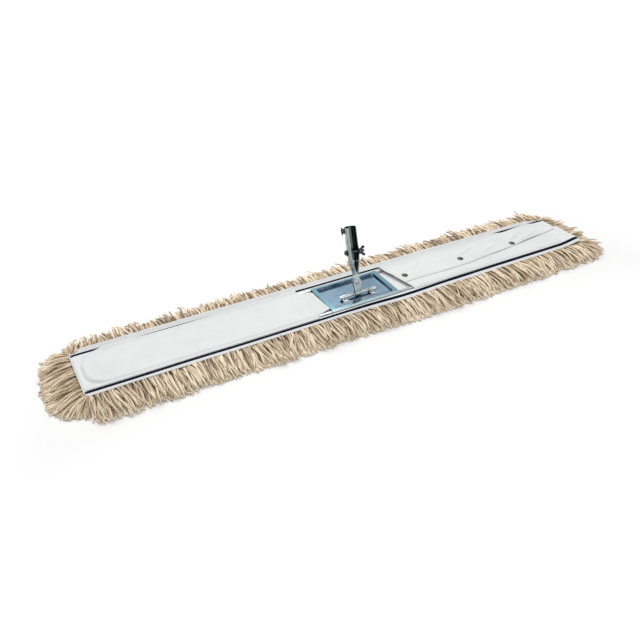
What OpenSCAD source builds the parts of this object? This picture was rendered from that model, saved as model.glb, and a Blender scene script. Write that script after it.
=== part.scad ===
// Flat dust mop: a yarn-fringed canvas cover on a wire frame with a swivelling handle socket.
// Millimetres. X runs along the mop, Y to the back, Z up. The origin is on the floor under its middle.

/* [Cover] */
// Length of the canvas backing
cover_l = 1100; // [900:10:1300]
// Width of the canvas backing
cover_w = 134; // [130:1:150]
// Corner radius of the canvas
cover_r = 8; // [7:0.5:14]
// Thickness of the canvas backing
canvas_t = 2; // [1.4:0.1:3]
// How far the frame presses the middle of the canvas down below its margins
frame_sink = 4; // [2:0.5:5]
// Thickness of the pocket and flap cloth
cloth_t = 1; // [0.8:0.1:1.2]
// Width of the woven edge stripe
stripe_w = 7; // [4:0.5:7.5]
// Distance from the canvas edge to the stripe
stripe_inset = 7.5; // [6:0.5:8.5]
// Thickness of the stripe tape
stripe_t = 0.3; // [0.2:0.05:0.5]

/* [Yarn] */
// Height of the yarn sole under the canvas
sole_h = 14; // [11:1:20]
// Number of yarn rows under the canvas
sole_rows = 5; // [4:1:6]
// Gap between yarn rows
row_gap = 2; // [1:0.5:4]
// How far the fringe reaches past the canvas
fringe_reach = 58; // [40:1:65]
// Width of one tuft of the fringe
tuft_w = 9; // [8:0.5:14]
// Gap between the fringe and the floor
fringe_lift = 0.4; // [0.2:0.1:1]
// How far the fringe is sewn in under the canvas
fringe_root = 5; // [3:0.5:6]

/* [Pockets and snaps] */
// Gap from the canvas end to the foot of a pocket
pocket_end_gap = 5; // [4:0.5:7]
// Space from the wire to the cloth beside it
pocket_slack = 3; // [2.5:0.1:3.2]
// Corner radius of a pocket
pocket_r = 38; // [30:1:42]
// Distance from the middle of the mop to the flap mouth
flap_mouth_x = 100; // [90:1:105]
// How far the flap mouth slants towards the middle of the mop, for each mm across it
mouth_slant = 0.2; // [0:0.05:0.25]
// How far the corners of the left pocket's mouth are cut back over the wires
mouth_notch = 30; // [10:1:40]
// How far the back flap reaches past the first two snaps
back_flap_lap = 22; // [14:0.5:26]
// How far behind the middle of the mop the back flap's edge ends
flap_corner = 2; // [0:0.5:4]
// How far the front flap reaches past the snaps
front_flap_lap = 12; // [10:0.5:14]
// Gap between layers of cloth that move
cloth_gap = 0.3; // [0.25:0.05:0.5]
// Distance from the middle of the mop to the first snap
snap_x = 118; // [112:1:150]
// Distance between snaps
snap_pitch = 143; // [110:1:150]
// How far the snaps sit in front of the middle of the mop
snap_forward = 4; // [0:0.5:6]
// Diameter of a snap cap
snap_d = 13; // [12:0.5:15]

/* [Frame] */
// Diameter of the frame wire
wire_d = 5; // [4.5:0.1:6]
// Distance between the two long wires
wire_pitch = 88; // [80:1:90]
// Gap from the canvas end to the wire
wire_end_gap = 13; // [12:0.5:25]
// Bend radius of the wire corners
wire_bend_r = 34; // [25:1:38]
// Length of the middle plate along the mop
plate_l = 152; // [130:1:170]
// Thickness of the sheet steel of the plate
sheet_t = 1; // [0.8:0.1:1.2]
// Width of the flat border at each end of the plate
end_border = 9; // [8:0.5:20]
// Width of the flat border along the wires
side_border = 4.2; // [4.2:0.2:10]
// How far the walls of the pressed tray slope inwards
tray_slope = 2; // [1.5:0.5:5]
// Gap between the plate and the canvas
plate_gap = 0.2; // [0.1:0.1:0.4]

/* [Pivot rod] */
// Diameter of the pivot rod
rod_d = 6; // [5:0.2:7]
// Distance between the two rod saddles
saddle_pitch = 62; // [54:1:72]
// Length of a rod saddle
saddle_l = 12; // [10:0.5:16]
// Thickness of the saddle strap
saddle_t = 1.5; // [1.2:0.1:2]
// Width of a saddle foot
foot_w = 8; // [7:0.5:10]
// How far the rod sits in front of the middle of the plate
rod_forward = 13; // [0:0.5:14]

/* [Swivel] */
// Backward lean of the stem as it stands
stem_lean = 15; // [0:1:20]
// Distance from the rod to the knuckle rivet
knuckle_h = 24; // [22:0.5:30]
// Width of the yoke at the knuckle rivet
yoke_w = 17; // [15:0.5:20]
// Width of the yoke at the rod
yoke_foot = 13; // [11:0.5:16]
// Thickness of the yoke strap
yoke_t = 1.5; // [1.2:0.1:2]
// Thickness of the flattened tongue of the socket
tongue_t = 3; // [2.4:0.1:4]
// Gap on each side of the tongue
tongue_gap = 0.3; // [0.2:0.05:0.5]
// Diameter of the knuckle rivet
rivet_d = 5; // [4:0.2:6]

/* [Handle socket] */
// Diameter of the handle that the socket takes
handle_d = 22; // [20:0.5:25]
// Thickness of the socket wall
socket_t = 1.2; // [1:0.1:1.6]
// Distance from the rod to the mouth of the socket
socket_top = 135; // [132:1:160]
// Length of the straight bore below the mouth
bore_l = 42; // [38:1:43]
// Width of the open seam
seam_w = 15; // [10:0.5:16]
// How far the seam is turned about the stem, out of line with the rod
seam_turn = 5; // [0:1:30]
// How far the bolts are turned about the stem, out of line with the rod
bolt_turn = 20; // [0:1:30]
// Diameter of the clamp bolt and the thumb screw
bolt_d = 5; // [4:0.2:6]
// Distance from the rod to the clamp bolt
bolt_h = 85; // [84:0.5:90]
// Distance from the rod to the thumb screw
screw_h = 129; // [118:0.5:129]
// Running clearance of a shaft in its hole, on the radius
run_gap = 0.1; // [0.05:0.01:0.1]

/* [Hidden] */
$fn = 64;
// Heights, from the floor up
canvas_top = sole_h + canvas_t;
margin_z = sole_h + frame_sink;
margin_top = canvas_top + frame_sink;
curl_r = wire_d / 2 + run_gap + sheet_t;
wire_z = canvas_top + plate_gap + curl_r;
cloth_z = wire_z + wire_d / 2 + cloth_gap;
border_top = wire_z + curl_r;
floor_z = canvas_top + 2 * plate_gap;
floor_top = floor_z + sheet_t;
loop_r = rod_d / 2 + run_gap + yoke_t;
rod_z = floor_top + loop_r + 0.5;
// Outlines seen from above
wire_y = wire_pitch / 2;
wire_end = cover_l / 2 - wire_end_gap - wire_d / 2;
foot_y = wire_y + wire_d / 2 + pocket_slack + cloth_t + cloth_gap;
pocket_end = cover_l / 2 - pocket_end_gap;
stripe_y = cover_w / 2 - stripe_inset - stripe_w;
tray_l = plate_l - 2 * end_border;
tray_w = wire_pitch - 2 * side_border;
// Sizes along the stem, from the rod up
bore_r = handle_d / 2;
socket_r = bore_r + socket_t;
bore_bottom = socket_top - bore_l;
cone_top = knuckle_h + 50;
cone_bottom = knuckle_h + 16;
neck_r = 6.4;
tongue_w = 13;
yoke_gap = tongue_t + 2 * tongue_gap;
wing_t = 2.6;
hub_l = 6;
washer_t = 1;
weld_nut_l = 2.4;
thumb_l = 15;

// Shared shapes

// Rectangle about the middle with round corners
module round_rect(l, w, r) {
  square([l - 2 * r, w], center = true);
  square([l, w - 2 * r], center = true);
  for (sx = [-1, 1], sy = [-1, 1])
    translate([sx * (l / 2 - r), sy * (w / 2 - r)])
      circle(r);
}

// Extrudes a profile drawn in Y and Z along X, about the middle
module along_x(l) {
  rotate([90, 0, 90])
    linear_extrude(l, center = true)
      children();
}

// Stands the stem's own frame on the rod: Z along the stem, X along the rod
module on_stem() {
  translate([0, -rod_forward, rod_z])
    rotate([-stem_lean, 0, 0])
      children();
}

// Turns a piece modelled along Z so that it points out of the socket at height h of the stem, to the right or left
module across_stem(h, side) {
  on_stem()
    translate([0, 0, h])
      rotate([0, 0, -bolt_turn])
        rotate([0, side * 90, 0])
          children();
}

// One layer of a cloth box with its round end at +X: foot outline below, top outline above
module cloth_box(x0, x1, y1, z1, slope) {
  hull()
    for (level = [0, 1]) {
      inset = level * slope;
      translate([0, 0, level == 0 ? margin_top : z1 - 0.01])
        linear_extrude(0.01)
          for (s = [-1, 1]) {
            translate([x0, s * (y1 - inset) - (s > 0 ? 1 : 0)])
              square(1);
            translate([x1 - pocket_r, s * (y1 - pocket_r)])
              circle(pocket_r - inset);
          }
    }
}

// Cloth that falls over the wires on all sides but the mouth, lifted over layers below it
module cloth_cover(mouth_x, lift, foot_gap) {
  slope = pocket_slack + cloth_t;
  top = cloth_z + cloth_t + lift;
  grow = lift;
  difference() {
    cloth_box(mouth_x, pocket_end + grow, foot_y + grow, top, slope);
    cloth_box(mouth_x - 5, pocket_end - cloth_t + grow, foot_y - cloth_t + grow, top - cloth_t, slope);
    translate([mouth_x - 10, -cover_w, margin_top - 1])
      cube([cover_l, 2 * cover_w, 1 + foot_gap]);
  }
}

module at_snaps() {
  for (i = [0:2])
    translate([snap_x + i * snap_pitch, -snap_forward, 0])
      children();
}

// Wings of a wing nut, spreading up from a hub along Z
module wings(tip_r) {
  rotate([90, 0, 0])
    linear_extrude(wing_t, center = true)
      for (s = [0, 1])
        mirror([s, 0]) {
          polygon([[2.7, 0.8], [5, 0.8], [tip_r + 1.5, 5.4], [tip_r - 2.6, 9.4], [4, 5.2], [2.7, 5.2]]);
          translate([tip_r - 0.6, 7.4])
            circle(2.9);
        }
}

// Cover

// Outline of the sunk middle: at its rim just inside the feet of the pockets, at its floor round the frame
module sunk_outline(floor) {
  rim_l = 2 * (pocket_end - cloth_t - 0.3);
  rim_w = 2 * (foot_y - cloth_t - 0.3);
  floor_l = 2 * (wire_end + wire_d / 2 + 1);
  floor_w = 2 * (wire_y + curl_r + 0.6);
  if (floor)
    round_rect(floor_l, floor_w, pocket_r - 3);
  else
    round_rect(rim_l, rim_w, pocket_r - cloth_t - 0.3);
}

module sunk_block(floor_level, rim_level) {
  hull() {
    translate([0, 0, rim_level - 0.01])
      linear_extrude(0.01)
        sunk_outline(false);
    translate([0, 0, floor_level])
      linear_extrude(0.01)
        sunk_outline(true);
  }
}

// One cloth: flat margins all round, and a middle that the frame presses down into the yarn
module backing_canvas() {
  color("gainsboro")
    difference() {
      union() {
        translate([0, 0, margin_z])
          linear_extrude(canvas_t)
            round_rect(cover_l, cover_w, cover_r);
        sunk_block(sole_h, margin_top);
      }
      sunk_block(canvas_top, margin_top + 0.02);
    }
}

module edge_stripes() {
  color("midnightblue")
    for (s = [-1, 1])
      translate([0, s * (stripe_y + stripe_w / 2), margin_top + stripe_t / 2])
        cube([cover_l - 2, stripe_w, stripe_t], center = true);
}

// Cuts back a corner of the pocket's mouth, so that the wire shows beside the plate
module mouth_corner(mouth_x) {
  linear_extrude(100)
    polygon([
      [mouth_x - 10, wire_y - wire_d - 3], [mouth_x, wire_y - wire_d - 3], [mouth_x + mouth_notch / 4, wire_y - 1],
      [mouth_x + mouth_notch, wire_y + wire_d / 2], [mouth_x + mouth_notch, cover_w], [mouth_x - 10, cover_w]
    ]);
}

module left_pocket() {
  mouth_x = plate_l / 2 + 2;
  color("whitesmoke")
    mirror([1, 0, 0])
      difference() {
        cloth_cover(mouth_x, 0, 0);
        for (s = [0, 1])
          mirror([0, s, 0])
            mouth_corner(mouth_x);
      }
}

// All that lies on the middle's side of the slanting flap mouth
module before_mouth() {
  linear_extrude(100)
    polygon([
      [0, -cover_w], [flap_mouth_x + mouth_slant * cover_w, -cover_w],
      [flap_mouth_x - mouth_slant * cover_w, cover_w], [0, cover_w]
    ]);
}

// The two flaps overlap along the middle, the back one on top with its edge slanting to the far corner;
// both are cut back where the snaps pass
module back_flap() {
  lift = cloth_t + cloth_gap;
  color("whitesmoke")
    difference() {
      cloth_cover(flap_mouth_x - mouth_slant * cover_w / 2, lift, cloth_gap);
      before_mouth();
      linear_extrude(100)
        polygon([
          [0, -cover_w], [cover_l, -cover_w], [cover_l, flap_corner], [pocket_end, flap_corner],
          [snap_x + snap_pitch, -snap_forward - back_flap_lap], [0, -snap_forward - back_flap_lap]
        ]);
      at_snaps()
        cylinder(r = 5, h = 100);
    }
}

module front_flap() {
  color("whitesmoke")
    difference() {
      cloth_cover(flap_mouth_x - mouth_slant * cover_w / 2, 0, cloth_gap);
      before_mouth();
      translate([0, front_flap_lap - snap_forward, 0])
        cube([cover_l, cover_w, 100]);
      at_snaps()
        cylinder(r = 2.7, h = 100);
    }
}

module snap_caps() {
  flap_top = cloth_z + 2 * cloth_t + cloth_gap;
  color("dimgray")
    at_snaps()
      translate([0, 0, flap_top])
        rotate_extrude()
          polygon([
            [0, 0], [snap_d / 2 - 0.3, 0], [snap_d / 2, 0.3], [snap_d / 2, 0.7], [snap_d / 2 - 0.9, 1.1],
            [snap_d / 2 - 1.7, 0.9], [snap_d / 2 - 2.4, 1.3], [snap_d / 4, 1.9], [0, 2.1]
          ]);
}

module snap_sockets() {
  flap_top = cloth_z + 2 * cloth_t + cloth_gap;
  color("silver")
    at_snaps()
      translate([0, 0, flap_top - cloth_t - 0.1])
        difference() {
          cylinder(r = 4.9, h = cloth_t + 0.1);
          translate([0, 0, -1])
            cylinder(r = 2.7, h = cloth_t + 3);
        }
}

module snap_studs() {
  color("silver")
    at_snaps()
      translate([0, 0, cloth_z])
        rotate_extrude()
          polygon([
            [0, 0], [2.6, 0], [2.6, cloth_t], [1.9, cloth_t + 0.3], [2.1, cloth_t + 0.6],
            [1.8, cloth_t + 0.9], [0, cloth_t + 1]
          ]);
}

module snap_posts() {
  color("silver")
    at_snaps()
      translate([0, 0, cloth_z - 0.6])
        cylinder(r = 5.5, h = 0.6);
}

// Yarn

// Repeatable scatter from 0 to 1
function scatter(i) = let (v = sin(i * 127.1 + 31.7) * 437.585) v - floor(v);

// Outline of the fringe at column i, as distance past the canvas edge and height; odd columns are ridges
function tuft_outline(i) =
  let (
    ridge = i % 2,
    reach = fringe_reach * (ridge == 1 ? 0.9 + 0.1 * scatter(i) : 0.8),
    drop = sole_h * (ridge == 1 ? 0.1 * scatter(i + 7) : 0.22)
  )
  [
    [-fringe_root, fringe_lift],
    [reach - 2, fringe_lift],
    [reach, margin_z * 0.32 - drop],
    [reach * 0.68, margin_z * 0.78 - drop],
    [reach * 0.32, margin_z * 0.98 - drop],
    [0.5, margin_z],
    [-fringe_root, margin_z]
  ];

// Skins columns of [edge point, outward direction, outline] into one closed skirt
module yarn_skirt(columns) {
  n = len(columns);
  k = len(columns[0][2]);
  points = [for (c = columns) for (p = c[2]) [c[0].x + c[1].x * p.x, c[0].y + c[1].y * p.x, p.y]];
  sides = [
    for (j = [0:n - 2]) for (i = [0:k - 1])
      let (a = j * k + i, b = j * k + (i + 1) % k)
      each [[a, b, b + k], [a, b + k, a + k]]
  ];
  ends = [
    for (i = [1:k - 2])
      each [[0, i + 1, i], [(n - 1) * k, (n - 1) * k + i, (n - 1) * k + i + 1]]
  ];
  polyhedron(points, concat(sides, ends));
}

// Columns along a straight edge from point a to point b
function edge_columns(a, b, out) =
  let (tufts = max(1, round(norm(b - a) / tuft_w)))
  [for (i = [0:2 * tufts]) [a + (b - a) * i / (2 * tufts), out, tuft_outline(i)]];

// Columns that fan round a corner from one direction to another
function corner_columns(mid, from, to) =
  let (tufts = round((cover_r + fringe_reach) * PI / 2 / tuft_w))
  [
    for (i = [0:2 * tufts])
      let (a = from + (to - from) * i / (2 * tufts), out = [cos(a), sin(a)])
      [mid + cover_r * out, out, tuft_outline(i)]
  ];

function without_first(list) = [for (i = [1:len(list) - 1]) list[i]];

module long_fringe(side) {
  x1 = cover_l / 2 - cover_r - 0.1;
  y1 = side * cover_w / 2;
  color("wheat")
    yarn_skirt(edge_columns([-side * x1, y1], [side * x1, y1], [0, side]));
}

module end_fringe(side) {
  x1 = side * (cover_l / 2 - cover_r);
  y1 = side * (cover_w / 2 - cover_r);
  turn = side > 0 ? 0 : 180;
  first = corner_columns([x1, y1], turn + 90, turn);
  middle = edge_columns([side * cover_l / 2, y1], [side * cover_l / 2, -y1], [side, 0]);
  last = corner_columns([x1, -y1], turn, turn - 90);
  color("wheat")
    yarn_skirt(concat(first, without_first(middle), without_first(last)));
}

module front_fringe() {
  long_fringe(-1);
}

module back_fringe() {
  long_fringe(1);
}

module left_fringe() {
  end_fringe(-1);
}

module right_fringe() {
  end_fringe(1);
}

// Rows of yarn sewn along the underside, flat where they stand on the floor
module sole_yarn() {
  room = cover_w - 2 * fringe_root - 2 * row_gap;
  pitch = room / sole_rows;
  half = (pitch - row_gap) / 2;
  color("wheat")
    for (i = [0:sole_rows - 1])
      translate([0, (i - (sole_rows - 1) / 2) * pitch, 0])
        along_x(cover_l - 2 * fringe_root - 2 * row_gap)
          polygon([
            [-half * 0.55, 0], [half * 0.55, 0], [half * 0.9, sole_h * 0.15], [half, sole_h * 0.45],
            [half * 0.92, sole_h], [-half * 0.92, sole_h], [-half, sole_h * 0.45], [-half * 0.9, sole_h * 0.15]
          ]);
}

// Frame

// Half of the frame: two legs that meet the other half inside the plate's curls, and a bowed end
module frame_wire(side) {
  leg = wire_end - wire_bend_r;
  color("silver")
    mirror([side < 0 ? 1 : 0, 0, 0])
      translate([0, 0, wire_z])
        union() {
          for (s = [-1, 1]) {
            translate([1, s * wire_y, 0])
              rotate([0, 90, 0])
                cylinder(d = wire_d, h = leg - 1);
            translate([leg, s * (wire_y - wire_bend_r), 0])
              rotate([0, 0, s > 0 ? 0 : -90])
                rotate_extrude(angle = 90)
                  translate([wire_bend_r, 0])
                    circle(d = wire_d);
          }
          translate([wire_end, 0, 0])
            rotate([90, 0, 0])
              cylinder(d = wire_d, h = 2 * (wire_y - wire_bend_r), center = true);
        }
}

module left_wire() {
  frame_wire(-1);
}

module right_wire() {
  frame_wire(1);
}

// Frustum of the pressed tray between two heights, grown by a margin
module tray_block(z0, z1, margin) {
  hull() {
    translate([0, 0, z1 - 0.01])
      linear_extrude(0.01)
        round_rect(tray_l + 2 * margin, tray_w + 2 * margin, 5 + margin);
    translate([0, 0, z0])
      linear_extrude(0.01)
        round_rect(tray_l - 2 * tray_slope + 2 * margin, tray_w - 2 * tray_slope + 2 * margin, 4 + margin);
  }
}

// One sheet: a flat border curled down round both wires, and a tray pressed into it for the rod
module middle_plate() {
  color("lightsteelblue")
    difference() {
      union() {
        translate([0, 0, border_top - sheet_t])
          linear_extrude(sheet_t)
            square([plate_l, wire_pitch], center = true);
        for (s = [-1, 1])
          translate([0, s * wire_y, wire_z])
            along_x(plate_l)
              difference() {
                circle(curl_r);
                circle(curl_r - sheet_t);
                translate([s > 0 ? -curl_r - 1 : 0.6, -curl_r + sheet_t + 0.6])
                  square([curl_r + 0.4, 2 * curl_r - 2 * sheet_t - 0.6]);
              }
        tray_block(floor_z, border_top, sheet_t);
      }
      tray_block(floor_top, border_top + 0.02, 0);
      for (sx = [-1, 1], sy = [-1, 1])
        saddle_hole(sx, sy);
    }
}

foot_y1 = rod_d / 2 + saddle_t + foot_w / 2;

module saddle_hole(sx, sy) {
  translate([sx * saddle_pitch / 2, -rod_forward + sy * foot_y1, floor_z - 1])
    cylinder(r = 1.5 + run_gap, h = 6);
}

// Strap bent over the rod, with a riveted foot on each side
module saddle(side) {
  inner = rod_d / 2 + run_gap;
  rise = rod_z - floor_top;
  color("silver")
    difference() {
      translate([side * saddle_pitch / 2, -rod_forward, rod_z])
        along_x(saddle_l)
          difference() {
            union() {
              circle(inner + saddle_t);
              translate([-inner - saddle_t, -rise])
                square([2 * (inner + saddle_t), rise]);
              translate([-inner - saddle_t - foot_w, -rise])
                square([2 * (inner + saddle_t + foot_w), saddle_t]);
            }
            circle(inner);
            translate([-inner, -rise - 1])
              square([2 * inner, rise + 1]);
          }
      for (sy = [-1, 1])
        saddle_hole(side, sy);
    }
}

module left_saddle() {
  saddle(-1);
}

module right_saddle() {
  saddle(1);
}

module saddle_rivets() {
  grip = floor_top - floor_z + saddle_t;
  color("silver")
    for (sx = [-1, 1], sy = [-1, 1])
      translate([sx * saddle_pitch / 2, -rod_forward + sy * foot_y1, floor_z])
        rotate_extrude()
          polygon([
            [0, -0.3], [2.4, -0.3], [2.4, 0], [1.5, 0], [1.5, grip], [2.8, grip], [2.6, grip + 0.6],
            [1.6, grip + 1.2], [0, grip + 1.4]
          ]);
}

// Rod with an upset head beyond each saddle
module pivot_rod() {
  span = saddle_pitch + saddle_l + 0.4;
  color("silver")
    translate([0, -rod_forward, rod_z])
      rotate([0, 90, 0])
        union() {
          cylinder(d = rod_d, h = span + 8, center = true);
          for (s = [-1, 1])
            translate([0, 0, s * (span / 2 + 1)])
              cylinder(d = rod_d + 2, h = 2, center = true);
        }
}

// Swivel

// Strap folded round the rod, with an ear on each side of the tongue
module yoke() {
  ear = yoke_gap / 2 + yoke_t;
  color("silver")
    on_stem()
      difference() {
        intersection() {
          along_x(yoke_w + 2)
            difference() {
              union() {
                circle(loop_r);
                translate([-ear, 0])
                  square([2 * ear, knuckle_h + 12]);
              }
              circle(rod_d / 2 + run_gap);
              translate([-yoke_gap / 2, 0])
                square([yoke_gap, knuckle_h + 20]);
            }
          rotate([90, 0, 0])
            linear_extrude(40, center = true)
              union() {
                translate([0, knuckle_h])
                  circle(yoke_w / 2);
                polygon([
                  [-yoke_foot / 2, -loop_r - 1], [yoke_foot / 2, -loop_r - 1], [yoke_foot / 2, 5],
                  [yoke_w / 2, knuckle_h], [-yoke_w / 2, knuckle_h], [-yoke_foot / 2, 5]
                ]);
              }
        }
        translate([0, 0, knuckle_h])
          rotate([90, 0, 0])
            cylinder(d = rivet_d + 2 * run_gap, h = 40, center = true);
      }
}

module knuckle_rivet() {
  grip = yoke_gap + 2 * yoke_t;
  r = rivet_d / 2;
  color("silver")
    on_stem()
      translate([0, 0, knuckle_h])
        rotate([90, 0, 0])
          translate([0, 0, -grip / 2])
            rotate_extrude()
              polygon([
                [0, -2], [r, -1.8], [r + 1.6, -0.9], [r + 2, 0], [r, 0], [r, grip], [r + 2, grip],
                [r + 1.6, grip + 0.9], [r, grip + 1.8], [0, grip + 2]
              ]);
}

// Sheet rolled into an open-seamed tube that tapers to a neck and is flattened into a tongue
module handle_socket() {
  color("silver")
    on_stem()
      difference() {
        union() {
          rotate([0, 0, -seam_turn])
            difference() {
              rotate_extrude()
                polygon([
                  [neck_r - socket_t, cone_bottom], [neck_r, cone_bottom],
                  [neck_r + 1.2, cone_bottom + 9], [socket_r - 1.2, cone_top - 10],
                  [socket_r - 0.4, cone_top], [socket_r, bore_bottom], [socket_r, socket_top],
                  [bore_r, socket_top], [bore_r, bore_bottom], [bore_r - 0.4, cone_top],
                  [bore_r - 1.2, cone_top - 10], [neck_r + 1.2 - socket_t, cone_bottom + 9]
                ]);
              rotate([90, 0, 0])
                linear_extrude(socket_r + 5)
                  polygon([
                    [-seam_w / 2, socket_top + 1], [seam_w / 2, socket_top + 1], [seam_w / 2, cone_top + 4],
                    [seam_w / 3, cone_top - 10], [1, cone_bottom + 5], [-1, cone_bottom + 5],
                    [-seam_w / 3, cone_top - 10], [-seam_w / 2, cone_top + 4]
                  ]);
            }
          rotate([90, 0, 0])
            linear_extrude(tongue_t, center = true)
              union() {
                translate([0, knuckle_h])
                  circle(tongue_w / 2);
                translate([-tongue_w / 2, knuckle_h])
                  square([tongue_w, cone_bottom + 6 - knuckle_h]);
              }
        }
        translate([0, 0, knuckle_h])
          rotate([90, 0, 0])
            cylinder(d = rivet_d + 2 * run_gap, h = 40, center = true);
        translate([0, 0, bolt_h])
          rotate([0, 90, -bolt_turn])
            cylinder(d = bolt_d + 2 * run_gap, h = 60, center = true);
        translate([0, 0, screw_h])
          rotate([0, -90, -bolt_turn])
            cylinder(d = bolt_d + 2 * run_gap, h = 30);
      }
}

// Through bolt, washers under its head and its wing nut
module clamp_bolt() {
  seat = socket_r + 0.1 + washer_t;
  color("gray")
    across_stem(bolt_h, -1)
      union() {
        translate([0, 0, -seat - hub_l - 3])
          cylinder(d = bolt_d, h = 2 * seat + hub_l + 3);
        translate([0, 0, seat])
          cylinder(r = bolt_d * 0.92, h = bolt_d * 0.66, $fn = 6);
        translate([0, 0, seat + bolt_d * 0.66])
          cylinder(r1 = bolt_d * 0.72, r2 = bolt_d * 0.5, h = 0.6);
      }
}

module bolt_washers() {
  color("gray")
    for (side = [-1, 1])
      across_stem(bolt_h, side)
        translate([0, 0, socket_r + 0.1])
          difference() {
            cylinder(d = bolt_d * 2.6, h = washer_t);
            translate([0, 0, -1])
              cylinder(d = bolt_d + 2 * run_gap, h = washer_t + 2);
          }
}

module wing_nut() {
  color("gray")
    across_stem(bolt_h, 1)
      translate([0, 0, socket_r + 0.2 + washer_t])
        difference() {
          union() {
            cylinder(r1 = bolt_d, r2 = bolt_d * 0.8, h = hub_l);
            wings(bolt_d * 1.6);
          }
          translate([0, 0, -1])
            cylinder(d = bolt_d + 2 * run_gap, h = hub_l + 20);
        }
}

module weld_nut() {
  color("gray")
    across_stem(screw_h, -1)
      difference() {
        translate([0, 0, socket_r - 1])
          cylinder(r = bolt_d, h = weld_nut_l + 1);
        cylinder(d = bolt_d + 2 * run_gap, h = 40);
        rotate([0, 90, 0])
          cylinder(r = socket_r + 0.05, h = 60, center = true);
      }
}

module thumb_screw() {
  head = socket_r + weld_nut_l + 0.4;
  color("gray")
    across_stem(screw_h, -1)
      union() {
        translate([0, 0, bore_r + 0.3])
          cylinder(d = bolt_d, h = head - bore_r);
        translate([0, 0, head])
          union() {
            cylinder(r1 = bolt_d * 0.8, r2 = bolt_d * 0.7, h = hub_l / 2 + 0.6);
            linear_extrude(hub_l / 2) {
              square([thumb_l - 3, wing_t], center = true);
              for (s = [-1, 1])
                translate([s * (thumb_l / 2 - 2), 0])
                  circle(2);
            }
          }
      }
}

backing_canvas();
edge_stripes();
left_pocket();
back_flap();
front_flap();
snap_caps();
snap_sockets();
snap_studs();
snap_posts();
front_fringe();
back_fringe();
left_fringe();
right_fringe();
sole_yarn();
left_wire();
right_wire();
middle_plate();
left_saddle();
right_saddle();
saddle_rivets();
pivot_rod();
yoke();
knuckle_rivet();
handle_socket();
clamp_bolt();
bolt_washers();
wing_nut();
weld_nut();
thumb_screw();
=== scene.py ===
import bpy
import math
import numpy as np
from mathutils import Matrix


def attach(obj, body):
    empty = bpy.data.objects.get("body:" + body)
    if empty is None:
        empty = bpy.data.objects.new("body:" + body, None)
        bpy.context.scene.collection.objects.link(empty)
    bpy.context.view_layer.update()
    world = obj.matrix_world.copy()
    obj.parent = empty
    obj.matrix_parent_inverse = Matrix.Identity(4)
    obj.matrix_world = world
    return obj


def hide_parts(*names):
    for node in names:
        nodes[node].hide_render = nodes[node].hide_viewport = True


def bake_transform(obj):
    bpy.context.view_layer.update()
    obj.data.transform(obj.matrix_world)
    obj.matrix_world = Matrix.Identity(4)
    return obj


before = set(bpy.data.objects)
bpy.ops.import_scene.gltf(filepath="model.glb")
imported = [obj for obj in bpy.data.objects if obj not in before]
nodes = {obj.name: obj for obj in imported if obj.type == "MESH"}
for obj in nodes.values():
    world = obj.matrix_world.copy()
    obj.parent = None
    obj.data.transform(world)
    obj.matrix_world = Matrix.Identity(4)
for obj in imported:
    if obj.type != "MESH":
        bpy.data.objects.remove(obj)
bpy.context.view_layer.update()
scene = bpy.context.scene
scene.view_settings.view_transform = "Standard"
rng = np.random.default_rng(41)

# Sizes of the cover and the frame, in metres, as the CAD model has them
COVER_L, COVER_W, COVER_R = 1.100, 0.134, 0.008
MARGIN_Z, SUNK_Z = 0.0200, 0.0160
SUNK_X, SUNK_Y, SUNK_R = 0.5437, 0.0495, 0.0367
WIRE_X, WIRE_Y, WIRE_BEND = 0.5345, 0.0440, 0.034
MOUTH_LEFT, MOUTH_NOTCH = -0.0780, 0.030
MOUTH_RIGHT, MOUTH_SLANT = 0.1000, 0.20
SNAPS = [(0.118, -0.004), (0.261, -0.004), (0.404, -0.004)]
TRAY_END, TRAY_SIDE, BORDER_TOP = 0.067, 0.0398, 0.0234
STEM_FOOT, STEM_LEAN = (0.0, -0.013, 0.0225), math.radians(15)

# Sizes of the cloth pieces, in metres: thicknesses, corners, edges, and tops over the wire
CANVAS_T, TAPE_T, FLAP_T = 0.0018, 0.0004, 0.0009
CORNER_R, FOOT_RISE, SEAM_TUCK = 0.006, 0.0012, 0.001
TAPE_Y0, TAPE_Y1 = 0.0524, 0.0597
POCKET_END, POCKET_HALF, POCKET_TOP = -0.5475, 0.0523, 0.0237
FRONT_SEAM, FRONT_FREE, FRONT_END, FRONT_TOP = -0.0515, 0.0080, 0.5460, 0.02355
BACK_SEAM, BACK_FREE, BACK_END, BACK_TOP = 0.0525, -0.0255, 0.5470, 0.02490
BACK_ROUND = 0.5405


# Shader nodes

def node_maker(tree):
    """A function that adds a shader node to a tree, with its inputs linked or set."""
    def add(kind, inputs=None, **settings):
        node = tree.nodes.new("ShaderNode" + kind)
        for key, value in settings.items():
            setattr(node, key, value)
        for key, value in (inputs or {}).items():
            if hasattr(value, "is_output"):
                tree.links.new(value, node.inputs[key])
            else:
                node.inputs[key].default_value = value
        return node

    return add


def calc(add, operation, *values):
    """The result of a math node."""
    return add("Math", dict(enumerate(values)), operation=operation).outputs[0]


def vector_calc(add, operation, *values):
    """The results of a vector math node, Vector and Value."""
    return add("VectorMath", dict(enumerate(values)), operation=operation).outputs


def mapped(add, value, low, high, at_low=0.0, at_high=1.0):
    """A value moved from one range to another, and held at the range's ends."""
    return add("MapRange", {"Value": value, "From Min": low, "From Max": high,
                            "To Min": at_low, "To Max": at_high}).outputs[0]


def mixed(add, factor, first, second):
    """A colour that goes from the first, an output, to the second, a plain colour."""
    return add("Mix", {"Factor": factor, 6: first, 7: (*second, 1)}, data_type="RGBA").outputs[2]


def noise(add, at, scale, detail, roughness):
    """A soft random pattern."""
    return add("TexNoise", {"Vector": at, "Scale": scale, "Detail": detail,
                            "Roughness": roughness}).outputs["Fac"]


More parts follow.
